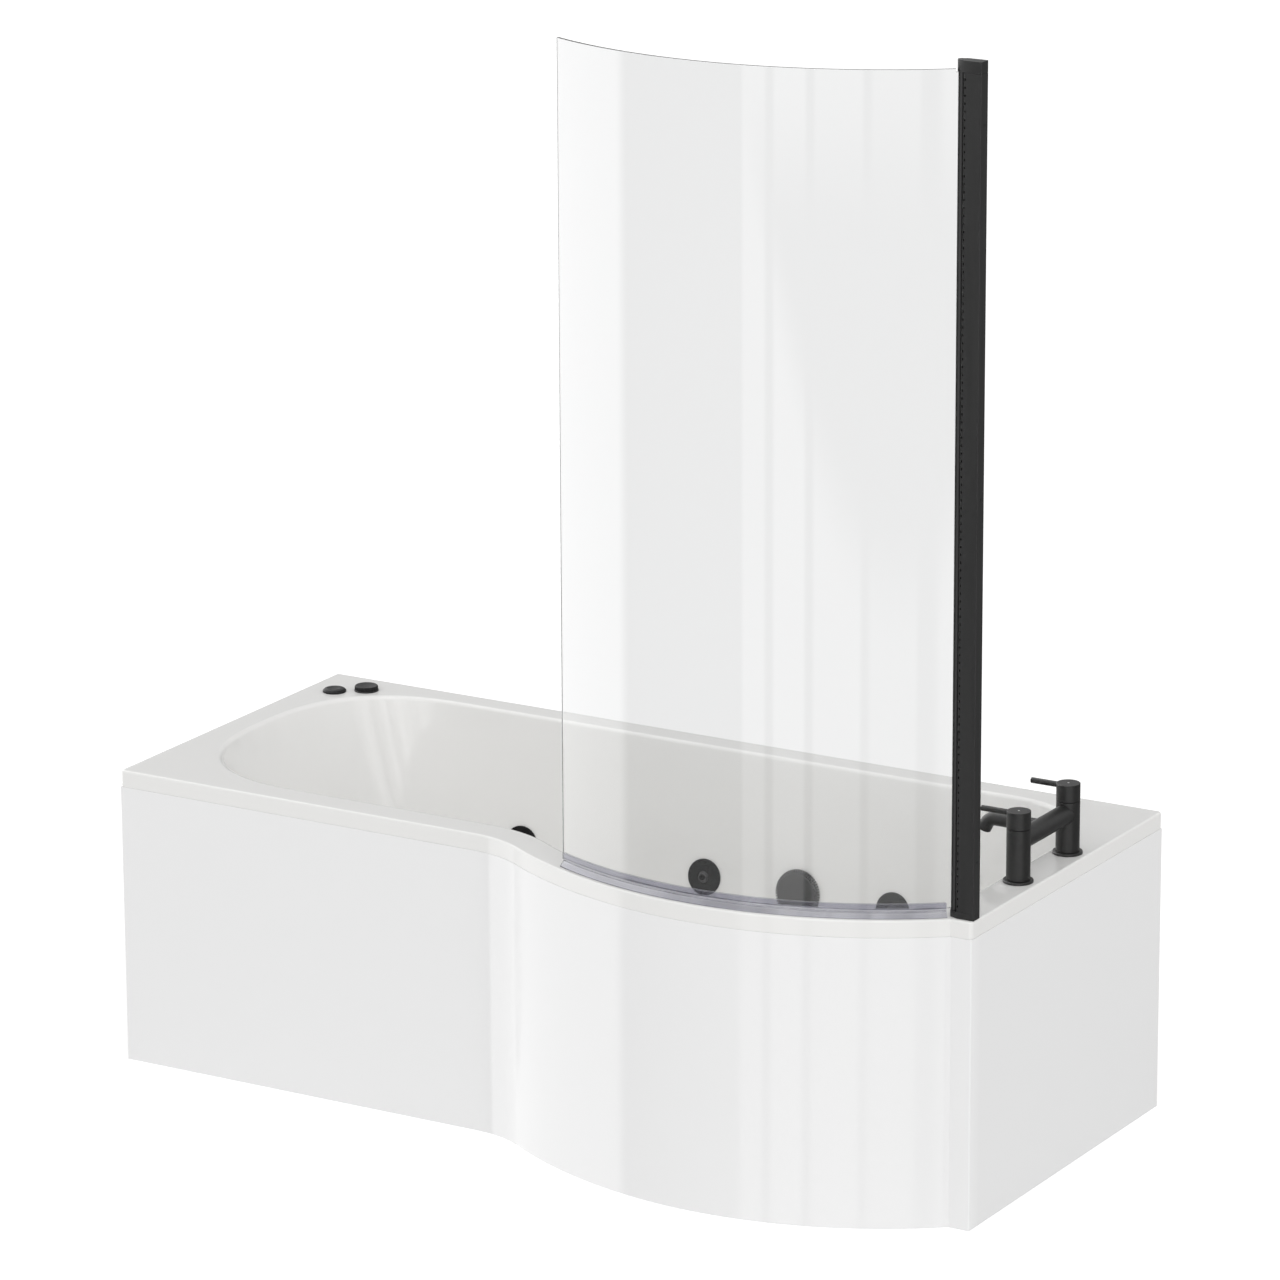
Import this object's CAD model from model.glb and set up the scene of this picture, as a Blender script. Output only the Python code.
import math

import bpy
import numpy as np
from mathutils import Matrix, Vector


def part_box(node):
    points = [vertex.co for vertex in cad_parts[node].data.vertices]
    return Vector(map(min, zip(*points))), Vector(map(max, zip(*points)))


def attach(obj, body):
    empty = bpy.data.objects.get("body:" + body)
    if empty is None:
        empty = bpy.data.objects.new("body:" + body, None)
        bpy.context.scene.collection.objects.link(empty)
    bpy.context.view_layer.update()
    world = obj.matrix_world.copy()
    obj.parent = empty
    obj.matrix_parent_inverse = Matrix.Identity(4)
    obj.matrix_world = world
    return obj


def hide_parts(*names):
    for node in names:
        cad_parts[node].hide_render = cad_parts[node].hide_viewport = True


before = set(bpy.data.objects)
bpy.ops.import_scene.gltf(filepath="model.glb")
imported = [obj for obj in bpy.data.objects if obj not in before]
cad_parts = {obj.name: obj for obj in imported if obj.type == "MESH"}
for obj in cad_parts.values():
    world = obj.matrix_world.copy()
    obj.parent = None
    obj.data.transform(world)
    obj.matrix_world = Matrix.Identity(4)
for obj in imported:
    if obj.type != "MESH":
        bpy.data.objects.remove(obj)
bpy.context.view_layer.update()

# --- Sizes, in metres. Places come from the frame; the rest repeats the bath's driving dimensions.
shell_low, shell_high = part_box("bath_shell")
HALF_L = shell_high.x
BACK = shell_high.y
RIM = shell_high.z
UNDER_FLOOR = shell_low.z
NARROW_STEP = 0.150         # the straight front stands this far behind the bow's foremost point
FRONT = NARROW_STEP - BACK
BULGE_R = 0.670             # the bow's radius; BOW is its centre
BOW = np.array([HALF_L - 0.462, BULGE_R - BACK])
# The front runs into a hollow arc, then an arc wider than the bow, then the bow itself; all
# three touch each other without a kink
HOLLOW_FROM, HOLLOW_R, HOLLOW_TURN = -0.1173, 0.2007, math.radians(32.02)
HOLLOW = np.array([HOLLOW_FROM, FRONT - HOLLOW_R])
TURN_TO = np.array([math.sin(HOLLOW_TURN), math.cos(HOLLOW_TURN)])
SWELL_AT = HOLLOW + HOLLOW_R * TURN_TO
FROM_BOW = SWELL_AT - BOW
SWELL_R = (BULGE_R ** 2 - (FROM_BOW ** 2).sum()) / (2 * (FROM_BOW @ TURN_TO + BULGE_R))
SWELL = SWELL_AT + SWELL_R * TURN_TO
HOLLOW_END = 90 - math.degrees(HOLLOW_TURN)
BOW_FROM = math.degrees(math.atan2(BOW[1] - SWELL[1], BOW[0] - SWELL[0])) % 360

SHELL_T = 0.008
SKIRT_H = 0.030
WELL_DEPTH = RIM - UNDER_FLOOR - SHELL_T
FLOOR = UNDER_FLOOR + SHELL_T
# Width of the rim on each side, and how far the well's floor lies in from the rim's inner edge
RIM_FRONT, RIM_BACK, RIM_LEFT, RIM_RIGHT = 0.062, 0.052, 0.055, 0.070
SIDE_INSET, BACK_REST_INSET, TAP_END_INSET = 0.110, 0.290, 0.130
# At the well's top and floor: length of the sloping end's curve, and radii of the tap end's
# back and front corners
END_TOP, END_FLOOR = 0.275, 0.190
CORNERS_TOP, CORNERS_FLOOR = (0.190, 0.110), (0.100, 0.080)
# The straight wall takes up these shares of the depth and of the inset, the heel the rest
WALL_V, WALL_U = 0.8, 0.42
SLOPE_U = WALL_U / WALL_V
SIDE_TILT = math.atan(SIDE_INSET * SLOPE_U / WELL_DEPTH)
END_TILT = math.atan(TAP_END_INSET * SLOPE_U / WELL_DEPTH)
ROLL_R = 0.007              # the lip rolled into the well
EDGE_R = 0.0035             # the rim's outer edge
CORNER_R = 0.007            # the rim's square corners, seen from above
RIM_BEHIND = 0.0003         # the rim's skirt lies this far behind the panels' faces

TAP_X = HALF_L - 0.036
TAP_Y = 0.047
WASTE = np.array([0.540, TAP_Y])


def placed(name, data):
    """A new object in the scene."""
    made = bpy.data.objects.new(name, data)
    bpy.context.scene.collection.objects.link(made)
    return made


# --- Camera: the photograph's viewing angle, worked out for a frame of 1280 x 1280
FRAME_PX = 1280
FOCAL_PX = 6616.2
CAMERA_AT = (5.652, -9.387, 3.988)
YAW, PITCH, ROLL = math.radians(30.803), math.radians(16.069), -0.00465


def add_camera():
    """A level look along yaw and pitch, turned by a hair of roll about its own axis."""
    look = np.array([-math.sin(YAW) * math.cos(PITCH), math.cos(YAW) * math.cos(PITCH),
                     -math.sin(PITCH)])
    right = np.array([math.cos(YAW), math.sin(YAW), 0.0])
    up = np.cross(right, look)
    side = math.cos(ROLL) * right + math.sin(ROLL) * up
    top = math.cos(ROLL) * up - math.sin(ROLL) * right
    lens = bpy.data.cameras.new("camera")
    lens.sensor_width = 36.0
    lens.lens = FOCAL_PX / FRAME_PX * lens.sensor_width
    lens.clip_end = 200.0
    camera = placed("camera", lens)
    turn = Matrix(np.column_stack([side, top, -look]).tolist()).to_4x4()
    camera.matrix_world = Matrix.Translation(CAMERA_AT) @ turn
    bpy.context.scene.camera = camera


# --- Shader building
def put(tree, kind, settings=None, **inputs):
    """A new node with its settings and inputs; an input is a value or another node's socket."""
    made = tree.nodes.new("ShaderNode" + kind)
    for key, value in (settings or {}).items():
        setattr(made, key, value)
    for key, value in inputs.items():
        socket = made.inputs[int(key[1:])] if key[0] == "i" and key[1:].isdigit() \
            else made.inputs[key.replace("_", " ")]
        if isinstance(value, bpy.types.NodeSocket):
            tree.links.new(value, socket)
        else:
            socket.default_value = value
    return made


def maths(tree, operation, first, second=0.0):
    """One arithmetic node's value."""
    return put(tree, "Math", {"operation": operation}, i0=first, i1=second).outputs[0]


def plus(tree, first, *others):
    """The sum of values and sockets."""
    for other in others:
        first = maths(tree, "ADD", first, other)
    return first


def times(tree, first, *others):
    """The product of values and sockets."""
    for other in others:
        first = maths(tree, "MULTIPLY", first, other)
    return first


def spread(tree, value, low, high, out_low, out_high, kind="LINEAR"):
    """Value carried from low..high to out_low..out_high."""
    return put(tree, "MapRange", {"interpolation_type": kind}, Value=value, From_Min=low,
               From_Max=high, To_Min=out_low, To_Max=out_high).outputs["Result"]


def soft_step(tree, value, at, soft, before=0.0, after=1.0):
    """From before to after where value passes at, over soft on both sides of it."""
    return spread(tree, value, at - soft, at + soft, before, after, "SMOOTHSTEP")


def blend_colours(tree, factor, first, second):
    """The colour between first and second at factor."""
    made = tree.nodes.new("ShaderNodeMix")
    made.data_type = "RGBA"
    for place, value in ((0, factor), (6, first), (7, second)):
        if isinstance(value, bpy.types.NodeSocket):
            tree.links.new(value, made.inputs[place])
        else:
            made.inputs[place].default_value = value
    return made.outputs[2]


def rgb(colour):
    """A colour socket's value from red, green and blue, or from one grey level."""
    return (*np.broadcast_to(colour, 3).tolist(), 1.0)


def stretched_group(name, scale, stretch, outputs):
    """A node group with inputs Scale and Stretch and float outputs. Returns the group, its scale,
    its Object coordinates stretched per axis, and its output node."""
    group = bpy.data.node_groups.new(name, "ShaderNodeTree")
    for label, kind, value in (("Scale", "Float", scale), ("Stretch", "Vector", stretch)):
        socket = group.interface.new_socket(label, in_out="INPUT", socket_type="NodeSocket" + kind)
        socket.default_value = value
    for label in outputs:
        group.interface.new_socket(label, in_out="OUTPUT", socket_type="NodeSocketFloat")
    given, out = group.nodes.new("NodeGroupInput"), group.nodes.new("NodeGroupOutput")
    where = put(group, "TexCoord").outputs["Object"]
    along = put(group, "VectorMath", {"operation": "MULTIPLY"}, i0=where,
                i1=given.outputs["Stretch"]).outputs[0]
    return group, given.outputs["Scale"], along, out


def grain_group():
    """Fine grain: noise on stretched Object coordinates. Fine is the grain itself, Cloud a slow
    drift twenty times coarser."""
    group, scale, along, out = stretched_group("fine_grain", 400.0, (1.0, 1.0, 1.0),
                                               ["Fine", "Cloud"])
    fine = put(group, "TexNoise", Vector=along, Scale=scale, Detail=3.0)
    cloud = put(group, "TexNoise", Vector=along, Scale=times(group, scale, 0.05), Detail=2.0)
    group.links.new(fine.outputs["Fac"], out.inputs["Fine"])
    group.links.new(cloud.outputs["Fac"], out.inputs["Cloud"])
    return group


def board_group():
    """Growth rings of a plank: bands of a warped distance across the board, with fine pores."""
    group, scale, along, out = stretched_group("plank_grain", 40.0, (0.06, 1.0, 1.0),
                                               ["Band", "Pore"])
    wave = put(group, "TexWave", {"wave_type": "BANDS", "bands_direction": "Y"}, Vector=along,
               Scale=scale, Distortion=6.0, Detail=3.0, Detail_Scale=1.4)
    pore = put(group, "TexNoise", Vector=along, Scale=times(group, scale, 14.0), Detail=4.0)
    group.links.new(wave.outputs["Fac"], out.inputs["Band"])
    group.links.new(pore.outputs["Fac"], out.inputs["Pore"])
    return group


GRAIN = grain_group()
PLANK = board_group()


def new_material(name, **sockets):
    """A material with one Principled shader; sockets are constants set on the shader itself."""
    made = bpy.data.materials.new(name)
    made.use_nodes = True
    shader = made.node_tree.nodes["Principled BSDF"]
    for key, value in sockets.items():
        shader.inputs[key.replace("_", " ")].default_value = value
    return made, made.node_tree, shader


def use_group(tree, group, **inputs):
    """A shared group placed in a material with its own values."""
    made = tree.nodes.new("ShaderNodeGroup")
    made.node_tree = group
    for key, value in inputs.items():
        made.inputs[key].default_value = value
    return made


def feed(shader, **sockets):
    """Links other nodes' outputs to the shader's inputs."""
    for key, value in sockets.items():
        shader.id_data.links.new(value, shader.inputs[key.replace("_", " ")])


def raise_bumps(tree, shader, height, strength, distance):
    """Height feeds the shader's normal through one Bump node."""
    bump = put(tree, "Bump", Strength=strength, Distance=distance, Height=height)
    feed(shader, Normal=bump.outputs["Normal"])


def drift(tree, noise, low, high, edge=0.3):
    """From low to high as a noise goes over its usual range, edge..1 - edge."""
    return spread(tree, noise, edge, 1 - edge, low, high)


def grained(name, dark, light, rough, scale=400.0, stretch=(1, 1, 1), bump=0.1, depth=0.0002,
            hollow=None, **sockets):
    """A finish whose colour and roughness drift with the grain group: dark..light, rough[0..1].
    Where the values called hollow are 1, such as in a bore, it is near black."""
    made, tree, shader = new_material(name, **sockets)
    grain = use_group(tree, GRAIN, Scale=scale, Stretch=stretch)
    fine, cloud = grain.outputs["Fine"], grain.outputs["Cloud"]
    colour = blend_colours(tree, drift(tree, cloud, 0.0, 1.0), rgb(dark), rgb(light))
    if hollow:
        inside = put(tree, "Attribute", {"attribute_name": hollow}).outputs["Fac"]
        colour = blend_colours(tree, inside, colour, rgb(0.001))
    feed(shader, Base_Color=colour, Roughness=drift(tree, fine, *rough, edge=0.25))
    raise_bumps(tree, shader, fine, bump, depth)
    return made


def timber(name, dark, light, stretch):
    """Sawn pine: growth rings along the plank, pores and a rough dry face."""
    made, tree, shader = new_material(name, Specular_IOR_Level=0.25)
    grain = use_group(tree, PLANK, Scale=38.0, Stretch=stretch)
    band, pore = grain.outputs["Band"], grain.outputs["Pore"]
    tone = plus(tree, times(tree, band, 0.7), times(tree, pore, 0.4))
    feed(shader, Base_Color=blend_colours(tree, tone, rgb(dark), rgb(light)),
         Roughness=drift(tree, pore, 0.6, 0.85))
    raise_bumps(tree, shader, tone, 0.4, 0.0006)
    return made


def acrylic_shell(name):
    """Warm white acrylic with a gloss coat; where the laminate mask is 1 it is the back of the
    shell: chopped glass strands in resin."""
    made, tree, shader = new_material(name, Coat_Weight=0.12, Coat_Roughness=0.04,
                                      Specular_IOR_Level=0.28)
    mask = put(tree, "Attribute", {"attribute_name": "laminate"}).outputs["Fac"]
    grain = use_group(tree, GRAIN, Scale=60.0, Stretch=(1, 1, 1)).outputs
    strands = use_group(tree, GRAIN, Scale=170.0, Stretch=(0.25, 1.0, 0.4)).outputs
    gloss = blend_colours(tree, grain["Cloud"], rgb((0.865, 0.861, 0.847)),
                          rgb((0.875, 0.871, 0.858)))
    resin = blend_colours(tree, strands["Fine"], rgb((0.47, 0.46, 0.40)), rgb((0.74, 0.72, 0.66)))
    rough = plus(tree, drift(tree, grain["Fine"], 0.07, 0.11), times(tree, mask, 0.42))
    feed(shader, Base_Color=blend_colours(tree, mask, gloss, resin), Roughness=rough)
    relief = plus(tree, times(tree, strands["Fine"], mask), times(tree, grain["Cloud"], 0.004))
    raise_bumps(tree, shader, relief, 0.5, 0.0015)
    return made


def panel_acrylic(name):
    """Cool white acrylic sheet: high gloss, with the faint long waves of a moulded panel."""
    made, tree, shader = new_material(name, Coat_Weight=0.12, Coat_Roughness=0.03,
                                      Specular_IOR_Level=0.3)
    grain = use_group(tree, GRAIN, Scale=40.0, Stretch=(1.0, 1.0, 0.3)).outputs
    feed(shader, Base_Color=blend_colours(tree, grain["Cloud"], rgb(0.895), rgb(0.905)),
         Roughness=drift(tree, grain["Fine"], 0.06, 0.09))
    raise_bumps(tree, shader, grain["Cloud"], 0.02, 0.001)
    return made


def clear_pane(name, tint, rough, ior=1.5):
    """Clear glass or PVC: full transmission, with a trace of roughness that drifts."""
    made, tree, shader = new_material(name, Transmission_Weight=1.0, IOR=ior)
    grain = use_group(tree, GRAIN, Scale=90.0, Stretch=(1, 1, 1)).outputs
    paler = rgb([0.5 + 0.5 * share for share in tint])
    cloudy = blend_colours(tree, grain["Cloud"], rgb(tint), paler)
    feed(shader, Base_Color=blend_colours(tree, 0.85, cloudy, rgb(tint)),
         Roughness=drift(tree, grain["Fine"], *rough))
    return made


MATERIALS = {
    "white_acrylic": acrylic_shell("white_acrylic_shell"),
    "panel_acrylic": panel_acrylic("white_acrylic_panel"),
    "timber": timber("pine", (0.34, 0.21, 0.105), (0.62, 0.44, 0.25), (0.06, 1.0, 1.0)),
    "zinc_steel": grained("zinc_plate", (0.46, 0.46, 0.44), (0.62, 0.61, 0.57), (0.25, 0.45),
                          scale=260, Metallic=1.0),
    "grey_rubber": grained("grey_rubber", (0.035, 0.035, 0.037), (0.06, 0.06, 0.062), (0.6, 0.8),
                           scale=900, bump=0.3),
    "black_aluminium": grained("black_anodised", 0.014, 0.018, (0.34, 0.46), scale=1600,
                               stretch=(1, 1, 0.05), bump=0.05),
    "black_steel": grained("black_screw", 0.012, 0.02, (0.3, 0.45), scale=1200),
    "black_plastic": grained("black_plastic", (0.015, 0.015, 0.0155), (0.021, 0.021, 0.0215),
                             (0.36, 0.5), scale=1500, bump=0.08),
    "pivot_steel": grained("pivot_steel", 0.45, 0.6, (0.18, 0.3), scale=700, stretch=(1, 1, 0.1),
                           Metallic=1.0),
    "gasket_rubber": grained("gasket_rubber", 0.01, 0.016, (0.5, 0.7), scale=900),
    "clear_glass": clear_pane("clear_glass", (0.95, 0.953, 0.953), (0.0, 0.002)),
    "clear_seal": clear_pane("clear_seal", (0.68, 0.68, 0.74), (0.0, 0.01), 1.45),
    "matt_black": grained("matt_black", (0.0125, 0.0125, 0.0122), (0.0165, 0.0165, 0.016),
                          (0.38, 0.5), scale=2200, bump=0.08, depth=0.00008),
    "mouth_grey": grained("mouth_grey", 0.06, 0.09, (0.4, 0.6)),
    "tail_brass": grained("tail_brass", (0.55, 0.38, 0.16), (0.68, 0.50, 0.24), (0.2, 0.36),
                          scale=500, Metallic=1.0),
    "polished_chrome": grained("polished_chrome", (0.62, 0.62, 0.63), (0.68, 0.68, 0.69),
                               (0.05, 0.1), scale=300, bump=0.02, Metallic=1.0),
    "white_plastic": grained("white_plastic", (0.66, 0.66, 0.64), (0.72, 0.72, 0.70), (0.28, 0.4),
                             scale=500, bump=0.05),
    "pump_plastic": grained("pump_plastic", (0.02, 0.02, 0.022), (0.034, 0.034, 0.036), (0.4, 0.58),
                            scale=900, bump=0.2),
    "motor_aluminium": grained("motor_casting", (0.10, 0.10, 0.105), (0.17, 0.17, 0.175),
                               (0.42, 0.6), scale=600, bump=0.4, Metallic=0.6),
    "jet_black": grained("jet_black", (0.006, 0.006, 0.0063), (0.009, 0.009, 0.0093), (0.4, 0.55),
                         scale=1500, bump=0.08, Specular_IOR_Level=0.15),
    "cover_grey": grained("cover_grey", 0.022, 0.028, (0.2, 0.3), scale=900, bump=0.04),
    "nozzle_grey": grained("nozzle_grey", (0.04, 0.04, 0.041), (0.052, 0.052, 0.053), (0.25, 0.35),
                           scale=1500, bump=0.06, hollow="bore", Specular_IOR_Level=0.3),
    "control_black": grained("control_black", (0.010, 0.010, 0.0105), (0.015, 0.015, 0.0155),
                             (0.42, 0.55), scale=1500, bump=0.08, Specular_IOR_Level=0.2),
    "hose_grey": grained("hose_grey", (0.40, 0.41, 0.42), (0.48, 0.49, 0.50), (0.3, 0.45)),
    "index_silver": grained("index_silver", 0.66, 0.75, (0.25, 0.35), Metallic=1.0),
}

# The part's slot for each finish that only this scene names
SLOT_OF = {"panel_acrylic": "white_acrylic", "hose_grey": "white_plastic",
           "index_silver": "matt_black", "jet_black": "black_plastic",
           "cover_grey": "black_plastic", "nozzle_grey": "black_plastic",
           "control_black": "black_plastic"}


# --- Studio: a plain pale floor, even light with two broad lamps, and the room that gloss mirrors

# Upright soft boxes in that room, as directions: from and to azimuth (degrees round +Z from +X),
# softness of these edges, brightness, and lowest elevation
SOFT_BOXES = [
    (128, 217, 2.5, 2.15, -60), (258, 265, 0.8, 1.3, -60), (267.5, 277, 0.8, 1.4, -60),
    (279.5, 293.5, 0.8, 1.2, -60), (296, 310, 1.0, 0.95, -60), (316, 335, 2.0, 1.15, -60),
    (243.5, 249, 1.2, 0.9, -8), (252, 268, 3.0, 1.6, -8), (275, 287, 3.0, 1.6, -8),
    (296, 303, 1.5, 1.5, -8), (320, 327, 1.5, 1.6, -8), (42, 50, 1.0, 0.5, -6),
    (54, 57, 0.6, 0.4, -6), (63, 69, 1.0, 0.4, -6)]
FOOT_SOFT = 2
# A dark shape before the boxes: from a bowed lower edge, lowest at SHADE_AT, up to SHADE_TO
SHADE_AT, SHADE_FROM, SHADE_BEND, SHADE_TO = 305.0, -15.6, 0.002, -11.9
SHADE_LOW_SOFT, SHADE_TOP_SOFT = 0.7, 0.8
# Brightness of the room towards the front and the back, and what is added overhead; then the
# shares of +Y and of +Z in a direction over which these change
FRONT_WALL, BACK_WALL, OVERHEAD = 0.14, 0.20, 0.4
WALL_SPAN, OVERHEAD_SPAN = (-0.6, 0.9), (0.0, 0.35)
# Light on matt surfaces: an even share, and lamps as (direction, how closely a heading has to
# agree with it before the lamp is seen, strength)
EVEN_LIGHT = 0.38
LAMPS = [((0.04, -0.62, 0.78), 0.45, 1.02), ((0.90, 0.27, 0.35), 0.4, 0.61)]
# The floor's glow as the camera sees it, through glass, and as a light on all else
FLOOR_SEEN, FLOOR_THROUGH, FLOOR_GLOW = 0.76, 0.55, 0.48
FLOOR_HALF = 60.0


def lamp(tree, heading, towards, agree, strength):
    """A broad lamp: full where heading points towards it, nothing where their dot product is
    under agree."""
    facing = put(tree, "VectorMath", {"operation": "DOT_PRODUCT"}, i0=heading, i1=towards)
    return spread(tree, facing.outputs["Value"], agree, 1.0, 0.0, strength, "SMOOTHSTEP")


def mirrored_room(tree, heading):
    """The room's brightness: walls, overhead light, and the boxes less the dark shape's share."""
    axes = put(tree, "SeparateXYZ", i0=heading).outputs
    turn = times(tree, maths(tree, "ARCTAN2", axes[1], axes[0]), 180 / math.pi)
    turn = maths(tree, "MODULO", plus(tree, turn, 360.0), 360.0)
    rise = times(tree, maths(tree, "ARCSINE", axes[2]), 180 / math.pi)
    walls = spread(tree, axes[1], *WALL_SPAN, FRONT_WALL, BACK_WALL, "SMOOTHSTEP")
    above = spread(tree, axes[2], *OVERHEAD_SPAN, 0.0, 1.0, "SMOOTHSTEP")
    boxes = 0.0
    for start, end, soft, bright, lowest in SOFT_BOXES:
        box = times(tree, soft_step(tree, turn, start, soft, 0.0, bright),
                    soft_step(tree, turn, end, soft, 1.0, 0.0),
                    soft_step(tree, rise, lowest, FOOT_SOFT))
        boxes = plus(tree, boxes, box)
    aside = plus(tree, turn, -SHADE_AT)
    over = maths(tree, "SUBTRACT", maths(tree, "SUBTRACT", rise, SHADE_FROM),
                 times(tree, aside, aside, SHADE_BEND))
    shade = times(tree, soft_step(tree, over, 0.0, SHADE_LOW_SOFT),
                  soft_step(tree, rise, SHADE_TO, SHADE_TOP_SOFT, 1.0, 0.0))
    lit = times(tree, boxes, maths(tree, "SUBTRACT", 1.0, shade))
    return plus(tree, walls, times(tree, above, OVERHEAD), lit)


def add_studio():
    """World: the mirrored room for glossy rays, the even light and the lamps for all others."""
    world = bpy.data.worlds.new("studio")
    bpy.context.scene.world = world
    world.use_nodes = True
    tree = world.node_tree
    tree.nodes.clear()
    heading = put(tree, "TexCoord").outputs["Generated"]
    light = plus(tree, *(lamp(tree, heading, *row) for row in LAMPS), EVEN_LIGHT)
    even, room = (put(tree, "Background", Color=rgb(1), Strength=strength).outputs[0]
                  for strength in (light, mirrored_room(tree, heading)))
    glossy = put(tree, "LightPath").outputs["Is Glossy Ray"]
    both = put(tree, "MixShader", i0=glossy, i1=even, i2=room).outputs[0]
    out = tree.nodes.new("ShaderNodeOutputWorld")
    tree.links.new(both, out.inputs["Surface"])
    bpy.context.scene.view_settings.view_transform = "Standard"
    bpy.context.scene.view_settings.look = "None"


def add_floor():
    """A plain pale floor, large enough to fill the view; mirrors see the studio and not it."""
    mesh = bpy.data.meshes.new("floor")
    corners = [(x * FLOOR_HALF, y * FLOOR_HALF, 0) for x, y in ((-1, -1), (1, -1), (1, 1), (-1, 1))]
    mesh.from_pydata(corners, [], [(0, 1, 2, 3)])
    floor = placed("floor", mesh)
    made, tree, shader = new_material("pale_floor", Roughness=0.9, Specular_IOR_Level=0.0)
    path = put(tree, "LightPath").outputs
    seen = spread(tree, path["Is Camera Ray"], 0.0, 1.0, FLOOR_GLOW, FLOOR_SEEN)
    through = spread(tree, path["Is Transmission Ray"], 0.0, 1.0, FLOOR_GLOW, FLOOR_THROUGH)
    grain = use_group(tree, GRAIN, Scale=4.0, Stretch=(1, 1, 1))
    feed(shader, Base_Color=blend_colours(tree, grain.outputs["Cloud"], rgb(0.40), rgb(0.42)),
         Emission_Strength=maths(tree, "MAXIMUM", seen, through))
    shader.inputs["Emission Color"].default_value = rgb(1.0)
    mesh.materials.append(made)
    floor.visible_glossy = False


# --- Mesh building: skins over whole arrays of points
def xyz(x, y, z):
    """Points from three coordinates, each an array or one value for all."""
    return np.stack(np.broadcast_arrays(x, y, z), -1)


def ring_at(outline, z):
    """A plan outline as points at one height."""
    return xyz(outline[:, 0], outline[:, 1], z)


def skin(points, wrap_rows=False, caps=("flat", "flat")):
    """A closed skin over points of shape (rows, columns, 3) whose columns run round. The two
    ends are closed by a flat face or by a fan from a point, unless the rows run round too.
    Returns (vertices, [face arrays]) with the faces pointing outwards."""
    rows, columns = points.shape[:2]
    index = np.arange(rows * columns).reshape(rows, columns)
    lower = index if wrap_rows else index[:-1]
    upper = np.roll(index, -1, 0) if wrap_rows else index[1:]
    quads = np.stack([lower, np.roll(lower, -1, 1), np.roll(upper, -1, 1), upper], -1)
    vertices, faces = points.reshape(-1, 3), [quads.reshape(-1, 4)]
    if not wrap_rows:
        for ring, cap in ((index[0][::-1], caps[0]), (index[-1], caps[1])):
            if isinstance(cap, str):
                faces.append(ring[None])
            else:
                pole = np.full(columns, len(vertices))
                vertices = np.vstack([vertices, cap])
                faces.append(np.stack([ring, np.roll(ring, -1), pole], -1))
    volume = 0.0
    for group in faces:
        corners = vertices[group]
        for k in range(1, group.shape[1] - 1):
            volume += np.einsum("ij,ij->", corners[:, 0], np.cross(corners[:, k], corners[:, k + 1]))
    if volume < 0:
        faces = [group[:, ::-1] for group in faces]
    return vertices, faces


def build_mesh(name, parts):
    """One smooth mesh from skins."""
    vertices, loops, sizes, offset = [], [], [], 0
    for part_vertices, part_faces in parts:
        vertices.append(part_vertices)
        for group in part_faces:
            loops.append((group + offset).ravel())
            sizes.append(np.full(len(group), group.shape[1]))
        offset += len(part_vertices)
    vertices, loops, sizes = np.vstack(vertices), np.concatenate(loops), np.concatenate(sizes)
    mesh = bpy.data.meshes.new(name)
    mesh.vertices.add(len(vertices))
    mesh.vertices.foreach_set("co", vertices.astype(np.float32).ravel())
    mesh.loops.add(len(loops))
    mesh.loops.foreach_set("vertex_index", loops.astype(np.int32))
    mesh.polygons.add(len(sizes))
    mesh.polygons.foreach_set("loop_start", (np.cumsum(sizes) - sizes).astype(np.int32))
    mesh.update(calc_edges=True)
    mesh.polygons.foreach_set("use_smooth", np.ones(len(sizes), bool))
    return mesh


def piece(name, parts, material, body="bath", replaces=(), slot=None, masks=None, sharp=50):
    """One mesh object from skins, riding on a body. Masks are values per vertex. Edges that turn
    by more than sharp degrees stay crisp, and with None none does."""
    mesh = build_mesh(name, parts)
    for label, values in (masks or {}).items():
        mesh.attributes.new(label, "FLOAT", "POINT").data.foreach_set(
            "value", np.asarray(values, np.float32))
    if sharp:
        mesh.set_sharp_from_angle(angle=math.radians(sharp))
    mesh.materials.append(MATERIALS[material])
    made = placed(name, mesh)
    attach(made, body)
    slot = slot or SLOT_OF.get(material)
    if replaces:
        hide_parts(*replaces)
    return made


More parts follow.
